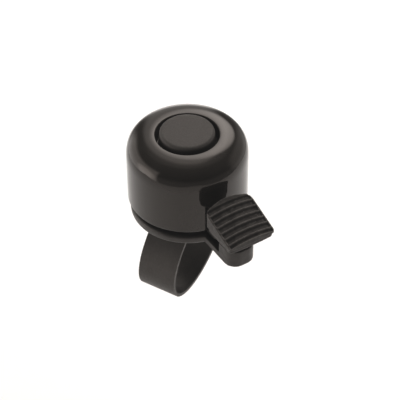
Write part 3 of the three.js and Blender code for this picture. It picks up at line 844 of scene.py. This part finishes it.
def make_base():
    rim = turn("base_body", rounded([
        (0, FLANGE_BOTTOM), (FLANGE_R, FLANGE_BOTTOM), (FLANGE_R, FLANGE_TOP), (0, FLANGE_TOP),
    ], [0, 0.4, 0.3, 0], 4), 192)
    ear_place = NOSE_TURN @ SIDEWAYS
    added = [
        bar("seat", 5, FLANGE_TOP - 1, FLANGE_TOP + 1.3, Matrix(), 96),
        prism("nose", nose_outline(12, NOSE_HALF), FLANGE_BOTTOM, FLANGE_TOP, NOSE_TURN),
        prism("boss", nose_outline(BOSS_START, NOSE_HALF), FLANGE_TOP - 1, BOSS_TOP, NOSE_TURN),
        prism("ear", ear_outline(), EAR_INNER, EAR_OUTER, ear_place),
        prism("ear", ear_outline(), -EAR_OUTER, -EAR_INNER, ear_place),
        prism("saddle", [
            (SADDLE_LEFT, BLOCK_BOTTOM), (BLOCK_OUT, BLOCK_BOTTOM), (BLOCK_OUT, FLANGE_BOTTOM + 0.8),
            (SADDLE_LEFT, FLANGE_BOTTOM + 0.8),
        ], BAND_X - SADDLE_HALF, BAND_X + SADDLE_HALF, ALONG_BAR),
        prism("lug", lug_outline(), BAND_LOW - 0.3 - LUG_T, BAND_LOW - 0.3, ALONG_BAR),
        prism("lug", lug_outline(), BAND_HIGH + 0.3, BAND_HIGH + 0.3 + LUG_T, ALONG_BAR),
    ]
    body = combine(rim, added, "UNION")
    nut_half = (nut_high.x - nut_low.x) / 2 + 0.3
    pivot = NOSE_TURN @ at(PIVOT_X, 0, PIVOT_Z) @ TURN_TO_Y
    removed = [
        block("channel", CHANNEL_START, BOSS_START, -CHANNEL_HALF, CHANNEL_HALF, CHANNEL_FLOOR,
              FLANGE_TOP + 3, NOSE_TURN),
        bar("hinge_hole", EAR_HOLE_R, -8, 8, pivot, 48),
        bar("ring_room", 2.3, EAR_OUTER, EAR_OUTER + 1.5, pivot, 48),
        bar("pocket", SPRING_POCKET_R, SPRING_SEAT, BOSS_TOP + 1, NOSE_TURN @ at(SPRING_X, 0, 0), 64),
        bar("saddle_round", SADDLE_R, -12, 12, TURN_TO_X, 160),
        bar("screw_hole", 1.6, FLANGE_BOTTOM - 2, FLANGE_TOP + 3, Matrix(), 48),
        bar("screw_head_room", 2.9, 9, SADDLE_R + 2.15, Matrix(), 64),
        bar("anchor_hole", EYE_BORE_R, -14, 12, at(0, ANCHOR.x, ANCHOR.y) @ TURN_TO_X, 48),
        block("nut_room", BAND_X - nut_half, BAND_X + nut_half, nut_low.y - 0.3, nut_high.y + 0.3, 5,
              CLAMP_Z + nut_half),
        bar("clamp_hole", SCREW_R + 0.3, 10, 17, at(BAND_X, 0, CLAMP_Z) @ TURN_TO_Y, 48),
    ]
    body = combine(body, removed, "DIFFERENCE")
    stand_for(shade(moulded(body, voxel=0.2, passes=5)), "base")


# ---------- lever and grip ----------
def pad_outline(inset):
    """The pad from above: wide, with round corners, a bowed back and a faintly bowed front."""
    x0, x1, half = PAD_BACK + inset, PAD_FRONT - inset, PAD_HALF - inset
    back, front, bulge = 2.6, 1.4, 0.2
    bends = [
        ((x1 - front - bulge, -half), (x1 - bulge, -half), (x1 - bulge, -half + front)),
        ((x1 - bulge, -half + front), (x1 + bulge, 0), (x1 - bulge, half - front)),
        ((x1 - bulge, half - front), (x1 - bulge, half), (x1 - front - bulge, half)),
        ((x0 + back, half), (x0, half), (x0, half - back)),
        ((x0, half - back), (x0 - 2 * PAD_BOW, 0), (x0, -half + back)),
        ((x0, -half + back), (x0, -half), (x0 + back, -half)),
    ]
    points = []
    for a, b, c in bends:
        for i in range(12):
            t = i / 12
            points.append(tuple(
                (1 - t) ** 2 * p + 2 * t * (1 - t) * q + t * t * r for p, q, r in zip(a, b, c)))
    return points


def lever_outline():
    top = PLATFORM_Z + PLATFORM_T
    hub = 1.9
    return [
        (TAIL_START, STEM_BOTTOM),
        (PIVOT_X - 1.5, STEM_BOTTOM),
        *arc((PIVOT_X, PIVOT_Z), hub, 225, 315, 8),
        (PIVOT_X + 1.7, STEM_BOTTOM),
        *rounded([(20, STEM_BOTTOM), (22.8, STEM_BOTTOM), (25.4, PLATFORM_Z), (30, PLATFORM_Z)],
                 [0, 2.6, 1.2, 0], 8),
        (PAD_FRONT - 1.4, PLATFORM_Z), (PAD_FRONT - 1.4, top), (PAD_BACK + 0.8, top),
        (PAD_BACK + 0.8, PLATFORM_Z + 0.3),
        *rounded([(23.6, PLATFORM_Z - 1), (20.9, STEM_TOP), (19.2, STEM_TOP)], [0, 1.8, 0], 8),
        (PIVOT_X + 1.7, STEM_TOP), *arc((PIVOT_X, PIVOT_Z), hub, 32, 148, 14), (10.4, STEM_TOP - 0.4),
        (TAIL_START, STEM_TOP - 0.4),
    ]


def make_lever():
    body = prism("lever_body", lever_outline(), -LEVER_HALF, LEVER_HALF, NOSE_TURN @ SIDEWAYS)
    platform = prism("platform", pad_outline(0.4), PLATFORM_Z, PLATFORM_Z + PLATFORM_T, NOSE_TURN)
    peg_place = NOSE_TURN @ at(SPRING_X, 0, 0)
    peg = bar("peg", PEG_R, PLATFORM_Z - 1.5, PLATFORM_Z + 0.5, peg_place, 48)
    body = combine(body, [platform, peg], "UNION")
    holes = [bar("hinge_hole", LEVER_HOLE_R, -5, 5, NOSE_TURN @ at(PIVOT_X, 0, PIVOT_Z) @ TURN_TO_Y, 48)]
    for side in (-RIVET_SIDE, RIVET_SIDE):
        place = NOSE_TURN @ at(RIVET_X, side, 0)
        holes.append(bar("rivet_hole", RIVET_HOLE_R, STEM_BOTTOM - 1, STEM_TOP + 1, place, 32))
    body = combine(body, holes, "DIFFERENCE")
    stand_for(shade(moulded(body, voxel=0.16, passes=4)), "lever")


def ease(value, low, high):
    """0 below low, 1 above high, and smooth between."""
    t = min(1.0, max(0.0, (value - low) / (high - low)))
    return t * t * (3 - 2 * t)


def grip_height(x, y):
    """The ridged top: wide hollow grooves between narrow round crests, closed at both sides."""
    slope = (PAD_BACK_Z - PAD_FRONT_Z) / (PAD_FRONT - PAD_BACK)
    plain = PAD_BACK_Z - (x - PAD_BACK) * slope
    side = abs(y)
    plain -= PAD_CROWN * (y / PAD_HALF) ** 2 + 0.2 * ease(side, PAD_HALF - 0.5, PAD_HALF + 0.1)
    place = (x - GROOVE_START) / GROOVE_PITCH
    if not 0 <= place <= PAD_GROOVES:
        return plain
    hollow = ease(0.9 - 0.92 * math.cos(2 * math.pi * place), 0, 1)
    open_end = 1 - ease(side, PAD_HALF - 0.85, PAD_HALF - 0.35)
    before_front = 1 - ease(x, PAD_FRONT - 0.9, PAD_FRONT - 0.3)
    return plain - GROOVE_DEPTH * hollow * open_end * before_front


def make_grip():
    foot = PLATFORM_Z + PLATFORM_T + 0.3
    across = 121
    lengthwise = 240
    half = PAD_HALF + 0.4
    verts, faces = [], []
    xs = steps_between(PAD_BACK - PAD_BOW - 0.4, PAD_FRONT + 0.4, lengthwise)
    for y in steps_between(-half, half, across - 1):
        verts += [(x, y, grip_height(x, y)) for x in xs]
        verts += [(xs[-1], y, foot), (xs[0], y, foot)]
    ring = lengthwise + 3
    for j in range(across - 1):
        for i in range(ring):
            k = (i + 1) % ring
            faces.append((j * ring + i, j * ring + k, (j + 1) * ring + k, (j + 1) * ring + i))
    faces.append(tuple(range(ring)))
    faces.append(tuple(range((across - 1) * ring, across * ring)))
    slab = solid("grip_body", verts, faces, NOSE_TURN)
    plan = prism("plan", pad_outline(0.0), foot - 1, PAD_BACK_Z + 2, NOSE_TURN)
    body = combine(slab, [plan], "INTERSECT")
    stand_for(shade(moulded(body, voxel=0.09, passes=4)), "thumb_grip")


def star_teeth(r, _z, angle):
    """A radius that cuts notches between six teeth into a ring's bore."""
    return r + 0.12 if r < 1.5 and math.cos(6 * angle) > 0 else r


def make_lever_pin():
    low = -EAR_OUTER - 0.5
    high = EAR_OUTER + 1.3
    place = NOSE_TURN @ at(PIVOT_X, 0, PIVOT_Z) @ TURN_TO_Y
    profile = rounded([(0, low), (HINGE_PIN_R, low), (HINGE_PIN_R, high), (0, high)], [0, 0.25, 0.25, 0], 4)
    stand_for(shade(turn("lever_pin_rod", profile, 48, place)), "lever_pin")
    near, far = EAR_OUTER + 0.3, EAR_OUTER + 0.8
    ring = rounded([(1.2, near), (2, near), (2, far), (1.2, far)], 0.12, 3)
    stand_for(shade(turn("lever_pin_star_ring", ring, 72, place, star_teeth)), "lever_pin_ring")


def sweep_tube(name, centre_line, radius, sides=12):
    """A round wire along a line of points, closed by flat ends."""
    verts, faces = [], []
    count = len(centre_line)
    for i, point in enumerate(centre_line):
        ahead = centre_line[min(i + 1, count - 1)] - centre_line[max(i - 1, 0)]
        ahead.normalize()
        side = ahead.cross(Vector((0, 0, 1))).normalized()
        up = side.cross(ahead)
        for k in range(sides):
            angle = 2 * math.pi * k / sides
            verts.append(point + (side * math.cos(angle) + up * math.sin(angle)) * radius)
    for i in range(count - 1):
        for k in range(sides):
            n = (k + 1) % sides
            faces.append((i * sides + k, i * sides + n, (i + 1) * sides + n, (i + 1) * sides + k))
    faces.append(tuple(range(sides)))
    faces.append(tuple(range((count - 1) * sides, count * sides)))
    return solid(name, verts, faces, NOSE_TURN)


def make_spring():
    """Compression coil whose end turns lie closed, as on a real spring."""
    low = SPRING_SEAT + 0.3 + SPRING_WIRE_R
    high = PLATFORM_Z - 0.3 - SPRING_WIRE_R
    closed = 2.1 * SPRING_WIRE_R
    turns = SPRING_TURNS + 1
    points = []
    for i in range(turns * 40 + 1):
        t = i / 40
        if t < 1:
            z = low + closed * t
        elif t > turns - 1:
            z = high - closed * (turns - t)
        else:
            z = low + closed + (high - low - 2 * closed) * (t - 1) / (turns - 2)
        angle = 2 * math.pi * t
        points.append(Vector((SPRING_X + SPRING_R * math.cos(angle), SPRING_R * math.sin(angle), z)))
    spring = shade(sweep_tube("return_coil", points, SPRING_WIRE_R), 50)
    stand_for(spring, "return_spring")
    return spring, low


# ---------- hammer ----------
def make_hammer():
    foot = STEM_TOP - 0.4 + 0.3
    top = HEAD_Z + 2.4
    outline = rounded([
        (LEAF_START, foot), (ARM_X + ARM_T, foot), (ARM_X + ARM_T, top), (ARM_X, top), (ARM_X, foot + ARM_T),
        (LEAF_START, foot + ARM_T),
    ], [0, 1.0, 0, 0, 0.5, 0], 6)
    arm = prism("arm_leaf", outline, -ARM_HALF, ARM_HALF, NOSE_TURN @ SIDEWAYS)
    holes = [bar("hole", 1.1, ARM_X - 2, ARM_X + 2, NOSE_TURN @ at(0, 0, HEAD_Z) @ TURN_TO_X, 48)]
    for side in (-RIVET_SIDE, RIVET_SIDE):
        holes.append(bar("hole", RIVET_HOLE_R, foot - 2, foot + 2, NOSE_TURN @ at(RIVET_X, side, 0), 32))
    arm = combine(arm, holes, "DIFFERENCE")
    stand_for(shade(bevelled(arm, width=0.08, angle=50, segments=2), 40), "hammer_arm")

    back = ARM_X + ARM_T + 0.3
    face_r = 3.6
    edge = math.asin(HEAD_R / face_r)
    angles = [edge * (1 - i / 14) for i in range(15)]
    face = [(face_r * math.sin(a), HEAD_FACE - face_r * (1 - math.cos(a))) for a in angles]
    profile = [
        (1.1, back), (HEAD_R - 0.35, back), (HEAD_R - 0.1, back + 0.1), (HEAD_R, back + 0.35),
        *face, (0, back + 1.4), (1.1, back + 1.4),
    ]
    place = NOSE_TURN @ at(0, 0, HEAD_Z) @ TURN_TO_X
    stand_for(shade(turn("striker", profile, 72, place), 50), "hammer_head")

    start = ARM_X - 1.1
    end = back + 1.1
    shank = rounded([
        (0, start), (1.7, start), (1.7, ARM_X - 0.3), (0.8, ARM_X - 0.3), (0.8, end), (0, end),
    ], [0, 0.5, 0.08, 0, 0.15, 0], 4)
    stand_for(shade(turn("striker_rivet", shank, 48, place), 50), "hammer_rivet")
    low = STEM_BOTTOM + 0.1
    high = foot + ARM_T + 0.3
    head_r = 0.95
    for node, side in (("arm_rivet_left", RIVET_SIDE), ("arm_rivet_right", -RIVET_SIDE)):
        rivet = rounded([
            (0, low), (RIVET_R, low), (RIVET_R, high), (head_r, high), (head_r, high + 0.6), (0, high + 0.6),
        ], [0, 0.1, 0, 0.05, 0.35, 0], 4)
        stand_for(shade(turn(node + "_stud", rivet, 40, NOSE_TURN @ at(RIVET_X, side, 0)), 50), node)


# ---------- strap and clamp ----------
def band_line(angle):
    """A point of the band's middle line in Y and Z, and the direction out of the loop there."""
    tilt = Matrix.Rotation(BAND_TILT, 2)
    point = tilt @ Vector((BAND_LONG * math.cos(angle), BAND_SHORT * math.sin(angle))) + BAND_CENTRE
    out = tilt @ Vector((math.cos(angle) / BAND_LONG, math.sin(angle) / BAND_SHORT))
    return point, out.normalized()


def make_strap():
    count = 150
    inner, outer = [], []
    for i in range(count + 1):
        point, out = band_line(BAND_START + (BAND_END - BAND_START) * i / count)
        inner.append(tuple(point - out * BAND_T / 2))
        outer.append(tuple(point + out * BAND_T / 2))
    top = strap_high.z
    back_face = strap_high.y
    outer.append((back_face, top))
    inner.append((back_face - BAND_T, top))
    ribbon = prism("strap_band", outer + inner[::-1], BAND_LOW, BAND_HIGH, ALONG_BAR)
    eye_place = at(0, ANCHOR.x, ANCHOR.y) @ TURN_TO_X
    band = combine(ribbon, [bar("eye", EYE_BORE_R + BAND_T, BAND_LOW, BAND_HIGH, eye_place, 72)], "UNION")
    slot_r = SCREW_R + 0.3
    across = [at(BAND_X, back_face, CLAMP_Z + dz) @ TURN_TO_Y for dz in (-3, 0)]
    band = combine(band, [
        bar("eye_bore", EYE_BORE_R, BAND_LOW - 1, BAND_HIGH + 1, eye_place, 48),
        bar("slot_foot", slot_r, -3, 3, across[0], 48),
        bar("slot_head", slot_r, -3, 3, across[1], 48),
        block("slot", BAND_X - slot_r, BAND_X + slot_r, back_face - 3, back_face + 3, CLAMP_Z - 3, CLAMP_Z),
    ], "DIFFERENCE")
    stand_for(shade(bevelled(band, width=0.22, angle=50, segments=3), 45), "strap")


def make_clamp():
    pin = rounded([
        (0, pin_low.x), (ANCHOR_PIN_R, pin_low.x), (ANCHOR_PIN_R, pin_high.x), (0, pin_high.x),
    ], [0, 0.3, 0.3, 0], 4)
    place = at(0, ANCHOR.x, ANCHOR.y) @ TURN_TO_X
    stand_for(shade(turn("anchor_pin_rod", pin, 48, place)), "strap_anchor_pin")

    place = at(BAND_X, 0, CLAMP_Z) @ TURN_TO_Y
    near, far = washer_low.y, washer_high.y
    outer_r = 3.5
    ring = rounded([
        (CLAMP_BORE_R, near), (outer_r, near), (outer_r, far), (CLAMP_BORE_R, far),
    ], 0.12, 3)
    stand_for(shade(turn("clamp_washer_ring", ring, 72, place)), "clamp_washer")

    tip, head_end = screw_low.y, screw_high.y
    head = far + 0.3
    shank = [(SCREW_R, y) for y in steps_between(tip + 0.3, head - 0.5, 90)]
    head_r = 2.8
    dish = quarter_ellipse(0, head + 0.5, head_r, 1.3, 10)
    profile = [
        (0, tip), (SCREW_R - 0.3, tip), *shank, (SCREW_R, head),
        (head_r - 0.1, head), (head_r, head + 0.1), *dish[:-1], (0, head_end),
    ]
    screw = turn("clamp_pan_screw", profile, 72, place, thread(0.5, 0.26, tip + 0.3, head - 0.5))
    recess = []
    for wide, tall in ((1.7, 0.3), (0.3, 1.7)):
        recess.append(block("cross", -wide, wide, -tall, tall, head + 0.8, head + 4, place))
    stand_for(shade(combine(screw, recess, "DIFFERENCE"), 35), "clamp_screw")

    nut_half = (nut_high.x - nut_low.x) / 2
    square = rounded([
        (-nut_half, -nut_half), (nut_half, -nut_half), (nut_half, nut_half), (-nut_half, nut_half),
    ], 0.3, 3)
    nut = prism("clamp_square_nut", square, nut_low.y, nut_high.y, place)
    nut = combine(nut, [bar("bore", CLAMP_BORE_R, nut_low.y - 1, nut_high.y + 1, place, 48)], "DIFFERENCE")
    stand_for(shade(bevelled(nut, width=0.15, angle=50, segments=2), 35), "clamp_nut")


def make_liner():
    """Rubber liner with fine ribs along the bar, so that it grips."""
    first, last = 48.6, 109.2
    outer_r = BAR_R + 1.15
    ribs = 23
    steps = ribs * 6
    inner = []
    for i in range(steps + 1):
        angle = math.radians(first + (last - first) * i / steps)
        groove = 0.22 * max(0.0, math.sin(math.pi * 2 * ribs * i / steps)) ** 0.7 if 0 < i < steps else 0
        inner.append(((BAR_R + 0.02 + groove) * math.cos(angle), (BAR_R + 0.02 + groove) * math.sin(angle)))
    outer = arc((0, 0), outer_r, first, last, 60)
    body = prism("liner_pad", inner + outer[::-1], liner_low.x, liner_high.x, ALONG_BAR)
    stand_for(shade(bevelled(body, width=0.06, angle=60, segments=1), 40), "saddle_liner")


# ---------- the scene ----------
make_camera()
make_world()
panel_light("overhead_panel", azimuth=150, elevation=68, distance=1.0, width=0.8, height=0.8, power=12.0)
make_materials()

make_dome()
make_cap()
make_post()
make_washers()
make_dome_nut()
make_post_screw()
make_base()
make_lever()
make_grip()
make_lever_pin()
coil, coil_foot = make_spring()
make_hammer()
make_strap()
make_clamp()
make_liner()
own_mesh(coil)

FLOOR_Z = -120
FLOOR_HALF = 400
floor = solid("floor", [
    (-FLOOR_HALF, -FLOOR_HALF, 0), (FLOOR_HALF, -FLOOR_HALF, 0),
    (FLOOR_HALF, FLOOR_HALF, 0), (-FLOOR_HALF, FLOOR_HALF, 0),
], [(0, 1, 2, 3)], at(0, 0, FLOOR_Z))
floor.data.materials.append(MATERIALS["floor_white"])

# Plain colours, with the faint veil that bright surroundings cast over a lens.
view = bpy.context.scene.view_settings
view.view_transform = "Standard"
view.use_curve_mapping = True
view.curve_mapping.black_level = (-VEIL, -VEIL, -VEIL)
view.curve_mapping.update()
